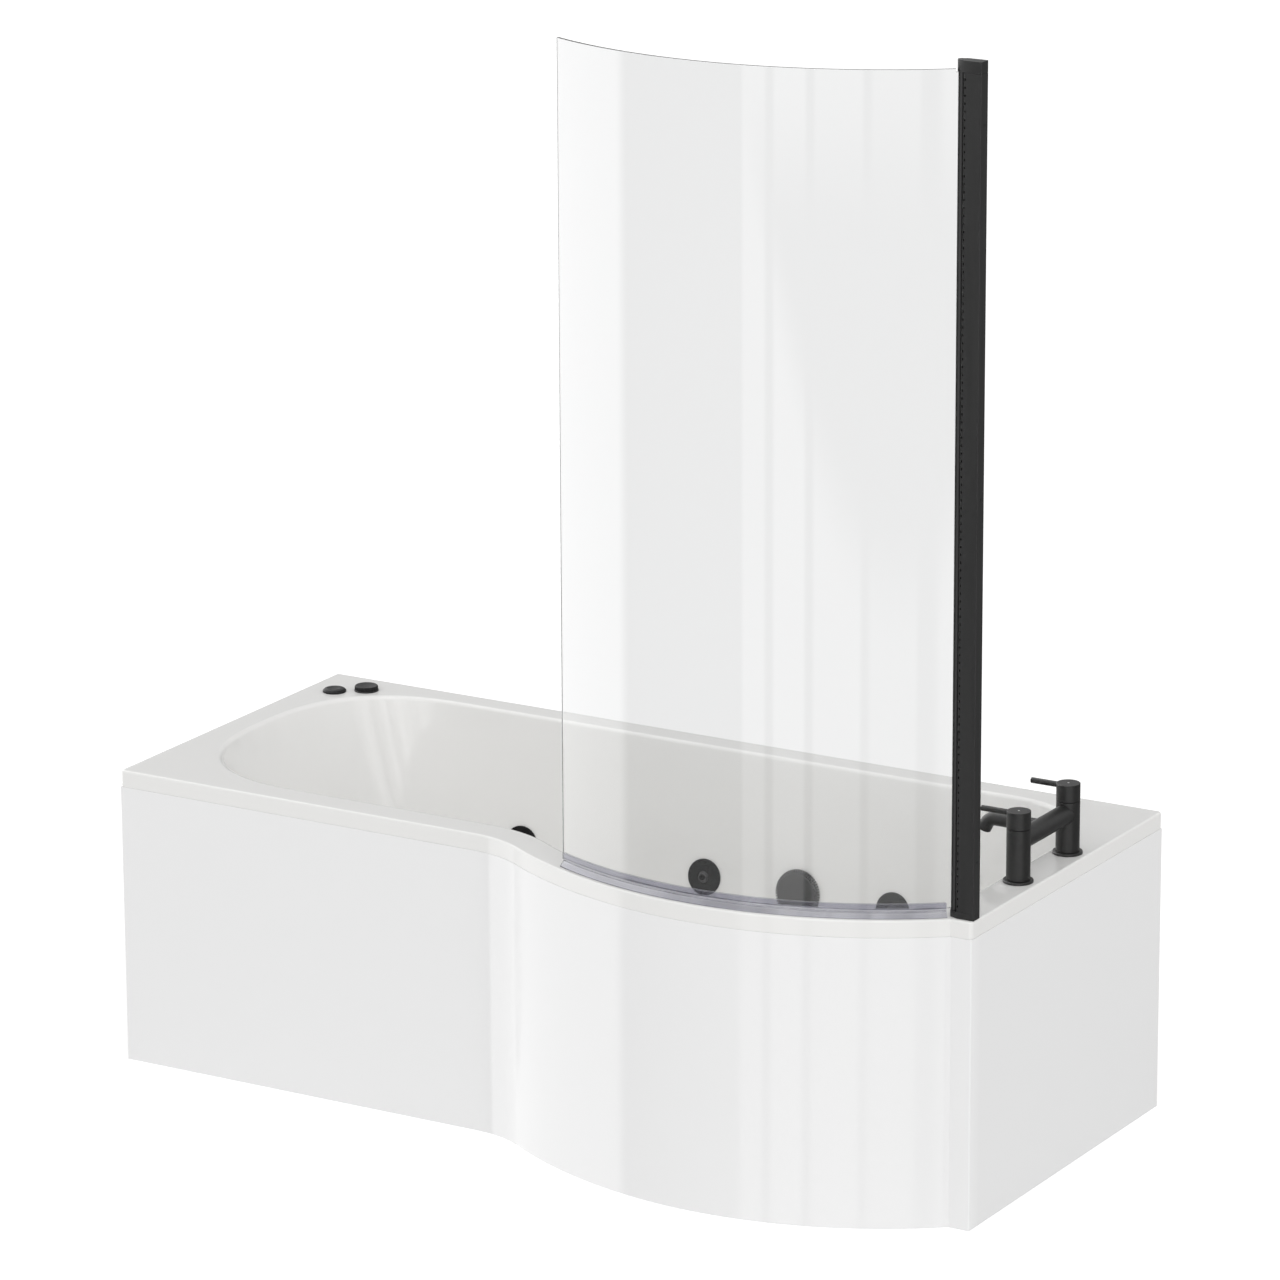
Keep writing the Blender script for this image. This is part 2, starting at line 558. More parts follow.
def softened(corners, radius, steps=4, closed=True, hold=0.12, most=0.42):
    """The outline through corners with each corner turned into an arc tangent to its sides, which
    takes at most the share most of a side, and a point a little before and after each arc, by the
    share hold of its reach, so that flats stay flat when shaded smooth."""
    corners = np.asarray(corners, float)
    radius = np.broadcast_to(np.asarray(radius, float), len(corners))
    before = np.roll(corners, 1, 0) - corners
    after = np.roll(corners, -1, 0) - corners
    reach = np.minimum(np.linalg.norm(before, axis=1), np.linalg.norm(after, axis=1))
    before /= np.linalg.norm(before, axis=1)[:, None]
    after /= np.linalg.norm(after, axis=1)[:, None]
    half = np.arccos(np.clip((before * after).sum(1), -1, 1)) / 2
    cut = np.minimum(radius / np.tan(half), most * reach)
    round_r = cut * np.tan(half)
    bisector = before + after
    bisector /= np.maximum(np.linalg.norm(bisector, axis=1), 1e-9)[:, None]
    centre = corners + bisector * (round_r / np.sin(half))[:, None]
    start, end = corners + before * cut[:, None], corners + after * cut[:, None]
    a0 = np.arctan2(*(start - centre).T[::-1])
    turn = (np.arctan2(*(end - centre).T[::-1]) - a0 + np.pi) % (2 * np.pi) - np.pi
    angle = a0[:, None] + turn[:, None] * np.linspace(0, 1, steps + 1)
    arcs = centre[:, None] + round_r[:, None, None] * np.stack([np.cos(angle), np.sin(angle)], -1)
    lead = corners + before * (cut * (1 + hold))[:, None]
    trail = corners + after * (cut * (1 + hold))[:, None]
    outline = np.concatenate([lead[:, None], arcs, trail[:, None]], 1)
    if not closed:
        return np.concatenate([corners[:1], outline[1:-1].reshape(-1, 2), corners[-1:]])
    return outline.reshape(-1, 2)


def carried(part, frame_at):
    """A skin moved into frame_at = (origin, 3x3 axes as columns)."""
    if frame_at is None:
        return part
    return part[0] @ frame_at[1].T + frame_at[0], part[1]


def turned(profile, segments=96, frame_at=None, closed=False, lobes=None):
    """A solid of revolution about z: an open profile of (radius, height) points from axis to
    axis, or a closed one for a ring. lobes(angle, radius, height) may change the radius."""
    profile = np.asarray(profile, float)
    body = profile if closed else profile[1:-1]
    angle = np.linspace(0, 2 * np.pi, segments, endpoint=False)
    height = np.repeat(body[:, 1:], segments, 1)
    radius = np.repeat(body[:, :1], segments, 1)
    if lobes:
        radius = lobes(angle[None], radius, height)
    points = np.stack([radius * np.cos(angle), radius * np.sin(angle), height], -1)
    if closed:
        return carried(skin(points, wrap_rows=True), frame_at)
    poles = [np.array([0.0, 0.0, profile[k, 1]]) for k in (0, -1)]
    return carried(skin(points, caps=poles), frame_at)


def inwards(outline):
    """Unit vectors into a closed outline, one for each of its points."""
    ahead = np.roll(outline, -1, 0) - np.roll(outline, 1, 0)
    inward = np.stack([-ahead[:, 1], ahead[:, 0]], -1)
    inward /= np.maximum(np.linalg.norm(inward, axis=1), 1e-12)[:, None]
    next_x, next_y = np.roll(outline, -1, 0).T
    area = (outline[:, 0] * next_y - next_x * outline[:, 1]).sum()
    return inward * np.sign(area)


def extruded(outline, low, high, edge=0.0, steps=3):
    """An upright solid on a plan outline from low to high, its end edges rounded by edge."""
    outline = np.asarray(outline, float)
    inward = inwards(outline)
    ends = [(0.0, 0.0)]
    if edge:
        angle = np.linspace(0, np.pi / 2, steps + 1)
        ends = [(edge * (1 - np.sin(a)), edge * (1 - np.cos(a))) for a in angle]
    rows = [ring_at(outline + inward * inset, low + height) for inset, height in ends]
    for inset, height in [(0.0, edge * 1.3)] * bool(edge) + ends[::-1]:
        rows.append(ring_at(outline + inward * inset, high - height))
    return skin(np.array(rows))


def tube(path, radius, normal, segments=48):
    """A round tube along points that lie in one plane, which has this normal; radius may change
    from point to point."""
    path, normal = np.asarray(path, float), np.asarray(normal, float)
    ahead = np.gradient(path, axis=0)
    ahead /= np.linalg.norm(ahead, axis=1)[:, None]
    across = np.cross(ahead, normal)
    angle = np.linspace(0, 2 * np.pi, segments, endpoint=False)[None, :, None]
    radius = np.broadcast_to(np.asarray(radius, float), len(path))[:, None, None]
    points = path[:, None] + radius * (np.cos(angle) * normal + np.sin(angle) * across[:, None])
    return skin(points)


def even_steps(path, spacing):
    """Points spaced evenly along a path of straight pieces."""
    length = np.concatenate([[0.0], np.cumsum(np.linalg.norm(np.diff(path, axis=0), axis=1))])
    at = np.linspace(0, length[-1], int(length[-1] / spacing) + 1)
    return np.column_stack([np.interp(at, length, path[:, k]) for k in range(path.shape[1])]), at


def cut_away(made, parts, sharp=35.0):
    """Solids are taken out of a piece, all in one exact Boolean. Values per vertex are first
    turned into values per face, which it keeps."""
    mesh = made.data
    for layer in [a.name for a in mesh.attributes if a.domain == "POINT" and a.data_type == "FLOAT"]:
        values = np.empty(len(mesh.vertices), np.float32)
        mesh.attributes[layer].data.foreach_get("value", values)
        corner = np.empty(len(mesh.loops), np.int32)
        mesh.loops.foreach_get("vertex_index", corner)
        start = np.empty(len(mesh.polygons), np.int32)
        mesh.polygons.foreach_get("loop_start", start)
        per_face = np.minimum.reduceat(values[corner], start)
        mesh.attributes.remove(mesh.attributes[layer])
        mesh.attributes.new(layer, "FLOAT", "FACE").data.foreach_set("value", per_face)
    cutter = placed("cutter", build_mesh("cutter", parts))
    step = made.modifiers.new("cut", "BOOLEAN")
    step.operation, step.solver, step.object = "DIFFERENCE", "EXACT", cutter
    bpy.context.view_layer.update()
    result = made.evaluated_get(bpy.context.evaluated_depsgraph_get())
    made.data = bpy.data.meshes.new_from_object(result)
    made.modifiers.clear()
    bpy.data.objects.remove(cutter)
    made.data.polygons.foreach_set("use_smooth", np.ones(len(made.data.polygons), bool))
    made.data.set_sharp_from_angle(angle=math.radians(sharp))
    made.data.name = made.name


# --- Plan outlines of the bath. Each runs from the back left round the sloping end, the front, the
# bow, the tap end and the back, in the same stretches, so that rings join point to point.
N_END, N_FRONT, N_HOLLOW, N_SWELL, N_BOW = 168, 16, 40, 32, 64
N_CORNER, N_SIDE, N_BACK = 48, 8, 24
# Exponents of the sloping end's superellipse, at its back and front halves
POWER_BACK, POWER_FRONT = 2 / 2.8, 2 / 2.3
# Points crowd towards the two corners at the tap end. Those stretches reach to these y on the tap
# end and to this x on the back, and crowd by these powers.
RUN_FRONT, RUN_BACK, RUN_ALONG = FRONT + 0.110, 0.203, 0.610
CROWD_BOW, CROWD_FRONT, CROWD_BACK = 1.6, 2.4, 2.6
# Only corners this near the ends are rounded, by at least this radius
NEAR_END, LEAST_R = 0.03, 0.0005


def crowded(count, share=0.93):
    """Angles from 90 to 270 degrees, crowded where the rim turns its two square corners."""
    t = np.arange(count) / count
    return np.radians(90 + 180 * (t - share / (4 * np.pi) * np.sin(4 * np.pi * (t - 0.25))))


def arc(centre, radius, start, end, count):
    """Points on an arc, start and end in degrees, without its last point."""
    angle = np.radians(start + (end - start) * np.arange(count) / count)
    return np.asarray(centre) + radius * np.stack([np.cos(angle), np.sin(angle)], -1)


def run(start, end, count, ease=1.0, to_end=False):
    """Points on a straight line without its last point, crowded at one end by a power."""
    t = np.arange(count) / count
    t = 1 - (1 - t) ** ease if to_end else t ** ease
    return np.asarray(start) + (np.asarray(end) - np.asarray(start)) * t[:, None]


def signed_power(value, exponent):
    """A power of the size that keeps the sign."""
    return np.sign(value) * np.abs(value) ** exponent


def well(left, right, back, front, end_l, r_back, r_front, grow):
    """The well's outline: a superelliptic sloping end, straight front, hollow curve, bow and
    rounded tap corners, all pushed outwards by grow."""
    x0, x1 = -HALF_L + left - grow, HALF_L - right + grow
    y0, y1 = FRONT + front - grow, BACK - back + grow
    bow_r, corner_r, back_r = BULGE_R - front + grow, r_front + grow, r_back + grow
    middle, half = np.array([x0 + end_l, (y0 + y1) / 2]), (y1 - y0) / 2
    corner = np.array([x1 - corner_r, BOW[1] - math.sqrt((bow_r - corner_r) ** 2
                                                        - (x1 - corner_r - BOW[0]) ** 2)])
    turn = math.degrees(math.atan2(corner[1] - BOW[1], corner[0] - BOW[0])) + 360
    angle = crowded(N_END)
    power = np.where(angle < np.pi, POWER_BACK, POWER_FRONT)
    end = middle + np.stack([end_l * signed_power(np.cos(angle), power),
                             half * signed_power(np.sin(angle), power)], -1)
    return np.concatenate([
        end, run([x0 + end_l, y0], [HOLLOW_FROM, y0], N_FRONT),
        arc(HOLLOW, HOLLOW_R + front - grow, 90, HOLLOW_END, N_HOLLOW),
        arc(SWELL, SWELL_R - front + grow, 180 + HOLLOW_END, BOW_FROM, N_SWELL),
        arc(BOW, bow_r, BOW_FROM, turn, N_BOW),
        arc(corner, corner_r, turn, 360, N_CORNER), run([x1, corner[1]], [x1, y1 - back_r], N_SIDE),
        arc([x1 - back_r, y1 - back_r], back_r, 0, 90, N_CORNER),
        run([x1 - back_r, y1], [x0 + end_l, y1], N_BACK)])


def well_top(grow):
    """The well's outline at the rim."""
    return well(RIM_LEFT, RIM_RIGHT, RIM_BACK, RIM_FRONT, END_TOP, *CORNERS_TOP, grow)


def well_floor(grow):
    """The well's outline at its floor."""
    return well(RIM_LEFT + BACK_REST_INSET, RIM_RIGHT + TAP_END_INSET, RIM_BACK + SIDE_INSET,
                RIM_FRONT + SIDE_INSET, END_FLOOR, *CORNERS_FLOOR, grow)


def rim(inset, corner_r=CORNER_R):
    """The rim's outer outline, pulled in by inset: a rectangle with the bow added, its square
    corners rounded by drawing each corner's points onto an arc."""
    x0, x1, y0, y1 = -HALF_L + inset, HALF_L - inset, FRONT + inset, BACK - inset
    start = -HALF_L + RIM_LEFT + END_TOP
    middle, half = np.array([start, (y0 + y1) / 2]), np.array([start - x0, (y1 - y0) / 2])
    kink = 360 - math.degrees(math.asin((BOW[1] - y0) / (BULGE_R - inset)))
    kink_at = [BOW[0] + (BULGE_R - inset) * math.cos(math.radians(kink)), y0]
    angle = crowded(N_END)
    unit = np.stack([np.cos(angle), np.sin(angle)], -1)
    end = middle + half * unit / np.abs(unit).max(1)[:, None]
    few = N_CORNER // 2
    outline = np.concatenate([
        end, run([start, y0], [HOLLOW_FROM, y0], N_FRONT),
        arc(HOLLOW, HOLLOW_R + inset, 90, HOLLOW_END, N_HOLLOW),
        arc(SWELL, SWELL_R - inset, 180 + HOLLOW_END, BOW_FROM, N_SWELL),
        arc(BOW, BULGE_R - inset, BOW_FROM, kink, N_BOW),
        run(kink_at, [x1, y0], few, CROWD_BOW, True),
        run([x1, y0], [x1, RUN_FRONT], few, CROWD_FRONT),
        run([x1, RUN_FRONT], [x1, RUN_BACK], N_SIDE),
        run([x1, RUN_BACK], [x1, y1], few, CROWD_BACK, True),
        run([x1, y1], [RUN_ALONG, y1], few, CROWD_BACK),
        run([RUN_ALONG, y1], [start, y1], N_BACK)])
    r = max(corner_r - inset, LEAST_R)
    nearest = np.clip(outline, [x0 + r, y0 + r], [x1 - r, y1 - r])
    away = outline - nearest
    at_corner = (np.abs(away) > 1e-9).all(1) & (np.abs(outline[:, 0]) > HALF_L - NEAR_END)
    length = np.linalg.norm(away, axis=1)
    outline[at_corner] = (nearest + away * (r / np.maximum(length, 1e-9))[:, None])[at_corner]
    return outline


def heel(t):
    """The wall's curve into the floor: (share of the inset, share of the depth) at t 0..1."""
    return (WALL_U * (1 - t) ** 2 + 2 * SLOPE_U * t * (1 - t) + t * t,
            WALL_V + 2 * (1 - WALL_V) * t - (1 - WALL_V) * t * t)


# --- Bath and panels
def make_shell():
    """Rings from the middle of the floor up the wall, over the rolled lip, across the rim, down
    its skirt and back under to the floor's underside."""
    top, floor = well_top(0), well_floor(0)
    outer_top, outer_floor = well_top(SHELL_T), well_floor(SHELL_T)
    inset, outer_inset = floor - top, outer_floor - outer_top
    skirt_z, under_rim = RIM - SKIRT_H, RIM - SHELL_T
    rings = [ring_at(WASTE + (floor - WASTE) * s, FLOOR) for s in (0.1, 0.35, 0.65, 0.9, 0.985)]
    for t in np.linspace(1, 0, 19):
        u, v = heel(t)
        rings.append(ring_at(top + inset * u, RIM - WELL_DEPTH * v))
    lip_v = ROLL_R / WELL_DEPTH
    for v in np.linspace(WALL_V, lip_v, 7)[1:]:
        rings.append(ring_at(top + inset * SLOPE_U * v, RIM - WELL_DEPTH * v))
    lean = SLOPE_U * lip_v
    for a in np.radians(np.linspace(0, 90, 11))[1:]:
        below = 1 - math.sin(a)
        grown = well_top(ROLL_R * (1 - math.cos(a)))
        rings.append(ring_at(grown + inset * lean * below, RIM - ROLL_R * below))
    lip, edge = well_top(ROLL_R), rim(RIM_BEHIND + EDGE_R)
    rings += [ring_at(lip + (edge - lip) * s, RIM) for s in (0.03, 0.5, 0.97, 1.0)]
    for a in np.radians(np.linspace(0, 90, 6))[1:]:
        outline = rim(RIM_BEHIND + EDGE_R * (1 - math.sin(a)))
        rings.append(ring_at(outline, RIM - EDGE_R * (1 - math.cos(a))))
    side, inner = rim(RIM_BEHIND), rim(SHELL_T)
    rings += [ring_at(side, z) for z in (RIM - EDGE_R * 1.3, skirt_z + 0.006, skirt_z + 0.004)]
    for behind, up in ((0.0001, 0.0003), (0.0004, 0.0)):
        rings.append(ring_at(rim(RIM_BEHIND + behind), skirt_z + up))
    glossy = len(rings)
    rings += [ring_at(inner, z) for z in (skirt_z, skirt_z + 0.001, under_rim - 0.002, under_rim)]
    rings.append(ring_at(well_top(SHELL_T + 0.006), under_rim))
    for v in np.linspace((SHELL_T + 0.008) / WELL_DEPTH, WALL_V, 6)[:-1]:
        rings.append(ring_at(outer_top + outer_inset * SLOPE_U * v, RIM - WELL_DEPTH * v))
    for t in np.linspace(0, 1, 13):
        u, v = heel(t)
        rings.append(ring_at(outer_top + outer_inset * u, RIM - WELL_DEPTH * v - SHELL_T * t))
    rings += [ring_at(WASTE + (outer_floor - WASTE) * s, UNDER_FLOOR) for s in (0.6, 0.2)]
    laminate = np.repeat(np.arange(len(rings)) > glossy, len(top))
    part = skin(np.array(rings), caps=([*WASTE, FLOOR], [*WASTE, UNDER_FLOOR]))
    return piece("acrylic_bath", [part], "white_acrylic", replaces=["bath_shell"],
                 masks={"laminate": np.concatenate([laminate, [False, True]])}, sharp=None)


PANEL_T = 0.004
PANEL_H = RIM - SKIRT_H - 0.0002
TONGUE_IN, TONGUE_H = SHELL_T + 0.003, 0.015
TONGUE_CUT = 0.0003         # what is left of the tongue where it would meet the rim's skirt
HEM = 0.018
PANEL_CORNER_R = 0.003
RETURN_L, PAST_CORNER = 0.033, 6    # the turn round the corner: its length, points on its way
SKIRT_CLEAR = SHELL_T + 0.001


def panel_section():
    """Face, top edge with a tongue behind the rim's skirt, and turned in bottom, as (inset,
    height), every corner eased."""
    corners = [(0, 0), (0, PANEL_H), (TONGUE_IN, PANEL_H), (TONGUE_IN, PANEL_H + TONGUE_H),
               (TONGUE_IN + PANEL_T, PANEL_H + TONGUE_H), (TONGUE_IN + PANEL_T, PANEL_H - PANEL_T),
               (PANEL_T, PANEL_H - PANEL_T), (PANEL_T, PANEL_T), (HEM, PANEL_T), (HEM, 0)]
    radii = np.array([1.0, 0.4, 0.4, 0.8, 0.8, 1.0, 1.5, 1.5, 0.8, 0.8]) * MM
    return softened(corners, radii, steps=3)


def panel_row(section, x, y, tongue):
    """The section as points, with its tongue cut to this height."""
    return xyz(x, y, np.minimum(section[:, 1], PANEL_H + tongue))


def make_front_panel():
    """The section carried along the rim's outline from the left end round the hollow curve, the
    bow and the right hand corner. At the left end the tongue stays under the rim's skirt."""
    section = panel_section()
    inset, height = section.T
    first = N_END
    last = first + N_FRONT + N_HOLLOW + N_SWELL + N_BOW + N_CORNER // 2 + PAST_CORNER
    rows = [panel_row(section, -HALF_L + away, FRONT + inset, tongue) for away, tongue in
            ((0.001, TONGUE_CUT), (SKIRT_CLEAR, TONGUE_CUT), (SKIRT_CLEAR + 0.005, TONGUE_H))]
    outlines = np.array([rim(s, PANEL_CORNER_R)[first:last] for s in inset])
    body = xyz(*outlines.transpose(2, 1, 0), height)
    turn_end = panel_row(section, HALF_L - inset, FRONT + RETURN_L, TONGUE_H)
    piece("curved_front_panel", [skin(np.concatenate([rows, body, [turn_end]]))],
          "panel_acrylic", replaces=["front_panel"])


def make_end_panel():
    """The same section along the tap end, with a narrow turned edge at the back wall."""
    section = panel_section()
    y0, y1 = FRONT + RETURN_L + 0.0001, BACK - 0.001
    cut = y1 - (SKIRT_CLEAR - 0.001)
    stations = ((y0, TONGUE_H), (y0 + 0.003, TONGUE_H), (cut - 0.005, TONGUE_H),
                (cut, TONGUE_CUT), (y1, TONGUE_CUT))
    rows = [panel_row(section, HALF_L - section[:, 0], y, tongue) for y, tongue in stations]
    edge = softened([(HALF_L - HEM, y1 - PANEL_T), (HALF_L - 0.001, y1 - PANEL_T),
                     (HALF_L - 0.001, y1), (HALF_L - HEM, y1)], 0.0006, steps=2)
    piece("flat_end_panel", [skin(np.array(rows)), extruded(edge, 0.0, PANEL_H - 0.001)],
          "panel_acrylic", replaces=["end_panel"])


# --- Fittings. Profiles are (radius, height, rounding) in millimetres, turned about each fitting's
# own axis. Heights count from the surface that a fitting stands on: wall, floor or rim.
MM = 0.001
UNDER_RIM = -SHELL_T / MM
# The three wall jets at the back, two at the front and one in the bow, as (x, side)
JETS = [(-0.399, 1), (-0.015, 1), (0.369, 1), (-0.399, -1), (-0.180, -1), (BOW[0], 0)]
JET_Z = 0.305
BALL_R, BALL_SEGMENTS = 0.011, 96
SEAT_R = 11.06
STEM_R = 3.9                # the stems under the plug, the knobs and the grips
SUCTION_X = 0.178
OVERFLOW_Z = 0.455
BOW_STAND = 0.0015          # flat faces stand this far off the bow's curved wall
PORT_AT = 0.036             # the water ports lie this far behind the wall
KNOB_AT, BUTTON_AT = (-0.743, 0.358), (-0.790, 0.323)
TAP_YS = (TAP_Y - 0.090, TAP_Y + 0.090)
# From and to heights of the back nuts behind the wall and under the rim
WALL_NUT = (-17.4, -11.4)
RIM_NUT = (UNDER_RIM - 8.2, UNDER_RIM - 0.2)


def profile_of(corners, closed=False):
    """A softened profile in metres from corners in millimetres: (radius, height, rounding)."""
    radius, height, rounding = np.asarray(corners, float).T * MM
    return softened(np.stack([radius, height], -1), rounding, closed=closed)


def leaning(origin, heading, tilt):
    """Place and axes of a fitting on a leaning wall: its third axis points into the bath, the
    second up along the wall."""
    level = np.array([math.cos(heading), math.sin(heading), 0.0])
    inward = level * math.cos(tilt) + np.array([0, 0, math.sin(tilt)])
    up = np.array([0, 0, math.cos(tilt)]) - level * math.sin(tilt)
    return np.asarray(origin, float), np.column_stack([np.cross(up, inward), up, inward])


def on_side(x, side, z):
    """On a long wall: side 1 the back, -1 the front, 0 the bow, from which flat faces stand off."""
    lean = SIDE_INSET * SLOPE_U * (RIM - z) / WELL_DEPTH
    face = {1: BACK - RIM_BACK - lean, -1: FRONT + RIM_FRONT + lean, 0: RIM_FRONT - BACK + lean}
    origin, axes = leaning([x, face[side], z], math.pi / 2 * (-1 if side == 1 else 1), SIDE_TILT)
    return (origin + axes[:, 2] * BOW_STAND if side == 0 else origin), axes


def on_tap_end(z):
    """On the leaning wall under the taps."""
    lean = TAP_END_INSET * SLOPE_U * (RIM - z) / WELL_DEPTH
    return leaning([HALF_L - RIM_RIGHT - lean, TAP_Y, z], math.pi, END_TILT)


def upright(x, y, z=0.0):
    """Place and axes of a fitting that stands level."""
    return np.array([x, y, z]), np.eye(3)


def port_of(place):
    """Upright place of the water port behind a fitting on the wall."""
    return upright(*(place[0] - place[1][:, 2] * PORT_AT))


def pointing(origin, direction, beside):
    """Place and axes of a fitting whose third axis runs along direction."""
    direction = np.asarray(direction, float) / np.linalg.norm(direction)
    beside = np.asarray(beside, float)
    axes = np.column_stack([np.cross(beside, direction), beside, direction])
    return np.asarray(origin, float), axes


def fluted(radius, depth, count, low, high, frame_at):
    """A nut with rounded finger flutes: radius less depth times a raised cosine."""
    angle = np.linspace(0, 2 * np.pi, count * 12, endpoint=False)
    edge = (radius - depth * (0.5 + 0.5 * np.cos(count * angle)) ** 2) * MM
    outline = np.stack([edge * np.cos(angle), edge * np.sin(angle)], -1)
    return carried(extruded(outline, low * MM, high * MM, 0.0006), frame_at)


def plain_cylinder(radius, low, high, frame_at, segments=96):
    """A cutter for cut_away."""
    return turned(np.array([(0, low), (radius, low), (radius, high), (0, high)]) * MM, segments,
                  frame_at)


def jet_profile():
    """The bore, the ball's spherical seat, a dark groove round it, the flat face and the body."""
    seat = np.radians(np.linspace(-35.5, 21.2, 9))
    ball = xyz(SEAT_R * np.cos(seat), SEAT_R * np.sin(seat), 0.01)
    face = [(11.3, 3.1, 0.3), (12.6, 3.1, 0.3), (13.2, 4.0, 0.35), (31.6, 4.0, 1.2), (33, 2.7, 0.7),
            (33, 0.2, 0.2), (19.5, 0.2, 0.3), (19.5, -49, 0.8), (0, -49, 0)]
    return profile_of(np.vstack([[(0, -45, 0), (9, -45, 0.01)], ball, face]))


def make_jets():
    """Six jet bodies with back nuts and pipe stubs, and in each a ball nozzle that rides on its
    own body and is dark inside its bore."""
    profile = jet_profile()
    stub_up = profile_of([(8, 0, 0.1), (12, 0, 0.5), (12, 24, 0.5), (8, 24, 0.3)], True)
    stub_down = profile_of([(5, -24, 0.3), (8, -24, 0.5), (8, 0, 0.1), (5, 0, 0.1)], True)
    wrap = np.radians(np.linspace(-63, 50, 24))
    ball = BALL_R * np.stack([np.cos(wrap), np.sin(wrap)], -1)
    mouth = np.array([(5.9, 8.55), (5.35, 8.4), (5.0, 8.0), (4.2, 2.0), (5.0, -9.0)]) * MM
    nozzle = np.vstack([ball, mouth])
    bore = np.repeat(np.arange(len(nozzle)) > len(ball), BALL_SEGMENTS)
    bodies = []
    for number, (x, side) in enumerate(JETS, 1):
        place = on_side(x, side, JET_Z)
        port = port_of(place)
        bodies += [turned(profile, 128, place), fluted(27, 1.6, 18, *WALL_NUT, place),
                   turned(stub_up, 48, port, True), turned(stub_down, 48, port, True)]
        piece("nozzle_ball_%d" % number, [turned(nozzle, BALL_SEGMENTS, place, True)],
              "nozzle_grey", "nozzle_%d" % number, ["jet_nozzle_%d" % number], masks={"bore": bore})
    piece("jet_fittings", bodies, "jet_black", replaces=["jet_bodies"])


# Slots in the cover's edge: their count, the share that is open, where their outer and inner
# walls stand, and the height and radius under which a point is on the cover's inside
COVER_SLOTS, COVER_OPEN, COVER_SLOT_FROM = 56, 0.46, 37.0
COVER_SLOT_BACK = COVER_SLOT_FROM - 1.2
INSIDE_H, INSIDE_R = 4.5, 39.2


def cover_lobes(angle, radius, height):
    """Radial slots through the cover's edge: between slots the profile is untouched, in them its
    outside drops to COVER_SLOT_FROM and its inside to COVER_SLOT_BACK."""
    phase = (angle * COVER_SLOTS / (2 * np.pi)) % 1.0
    deep = (np.abs(phase - 0.5) < COVER_OPEN / 2) & (radius > COVER_SLOT_BACK * MM)
    inner = (height < INSIDE_H * MM) & (radius < INSIDE_R * MM)
    outer = (radius > COVER_SLOT_FROM * MM) & ~inner
    radius = np.where(deep & outer, COVER_SLOT_FROM * MM, radius)
    return np.where(deep & inner, COVER_SLOT_BACK * MM, radius)


def make_suction():
    """A low domed cover with a ring of slots, over the suction's body in the wall."""
    place = on_side(SUCTION_X, 1, JET_Z)
    cover = profile_of([(0, 12.7, 0), (20, 12.3, 12), (35.5, 11.2, 4), (41.5, 9.0, 1.5),
                        (44, 5, 1.5), (44, 0.3, 0.3), (39, 0.3, 0.3), (39, 4.4, 1), (36, 7.2, 1),
                        (0, 9.5, 0)])
    outside, inside = cover[:-12], cover[-12:]
    fine = np.vstack([even_steps(outside, 0.9 * MM)[0], inside])
    piece("suction_grille", [turned(fine, COVER_SLOTS * 12, place, lobes=cover_lobes)],
          "cover_grey", replaces=["suction_cover"], sharp=45)
    body = profile_of([(0, -48, 0), (20, -48, 1), (20, 3, 0.4), (38, 3, 0.6), (38, 0.2, 0.3),
                       (26.5, 0.2, 0.3), (26.5, -61, 1.2), (0, -61, 0)])
    drop = profile_of([(18, -36, 0.4), (22, -36, 0.8), (22, 0, 0.2), (18, 0, 0.2)], True)
    piece("suction_fitting", [turned(body, 96, place), fluted(34, 1.8, 20, *WALL_NUT, place),
                              turned(drop, 64, port_of(place), True)],
          "black_plastic", replaces=["suction_body"])


def dial_lobes(angle, radius, height):
    """Shallow finger scallops round the knob's rim."""
    near_rim = np.clip((radius / MM - 30) / 4, 0, 1) * (height > 0.007)
    return radius - near_rim * 1.1 * MM * (0.5 + 0.5 * np.cos(9 * angle)) ** 3


def make_waste():
    """Polished waste flange and sprung plug, and the overflow's turning knob."""
    place = upright(*WASTE, FLOOR)
    flange = profile_of([(19, -28, 0.5), (24.5, -28, 0.5), (24.5, 0.2, 0.2), (35, 0.2, 0.3),
                         (35, 1.5, 0.5), (29, 2.5, 2), (26, 2.2, 1.2), (19, -6, 2)], True)
    piece("waste_ring", [turned(flange, 128, place, True)], "polished_chrome",
          replaces=["waste_flange"])
    plug = profile_of([(0, 8, 0), (15, 7.4, 25), (28, 5.4, 1.5), (29.5, 4, 0.8), (27, 2.6, 0.5),
                       (STEM_R, 2.6, 0.5), (STEM_R, -40, 0.6), (0, -40, 0)])
    piece("waste_cap", [turned(plug, 128, place)], "polished_chrome", "plug", ["waste_plug"])
    knob = profile_of([(0, 21.4, 0), (10, 21.6, 10), (30.5, 19.6, 3), (35, 15, 2.5), (35, 9, 0.8),
                       (34, 8, 0.4), (STEM_R, 8, 0.4), (STEM_R, -20, 0.6), (0, -20, 0)])
    piece("overflow_dial", [turned(knob, 144, on_tap_end(OVERFLOW_Z), lobes=dial_lobes)],
          "polished_chrome", "overflow_dial", ["overflow_knob"])


# The overflow's outlet lies this far behind the wall and below its knob
OUTLET_BACK, OUTLET_DROP = 0.023, 0.068
HOSE_BEND_X, HOSE_BEND_Z = 0.012, 0.250
TRAP_X, TRAP_Z = WASTE[0] + 0.0525, UNDER_FLOOR - 0.046
HOSE_R, RIPPLE, RIPPLE_PITCH = 11.2, 0.8, 0.005
CUFF_R, CUFF_L = 12.0, 0.022


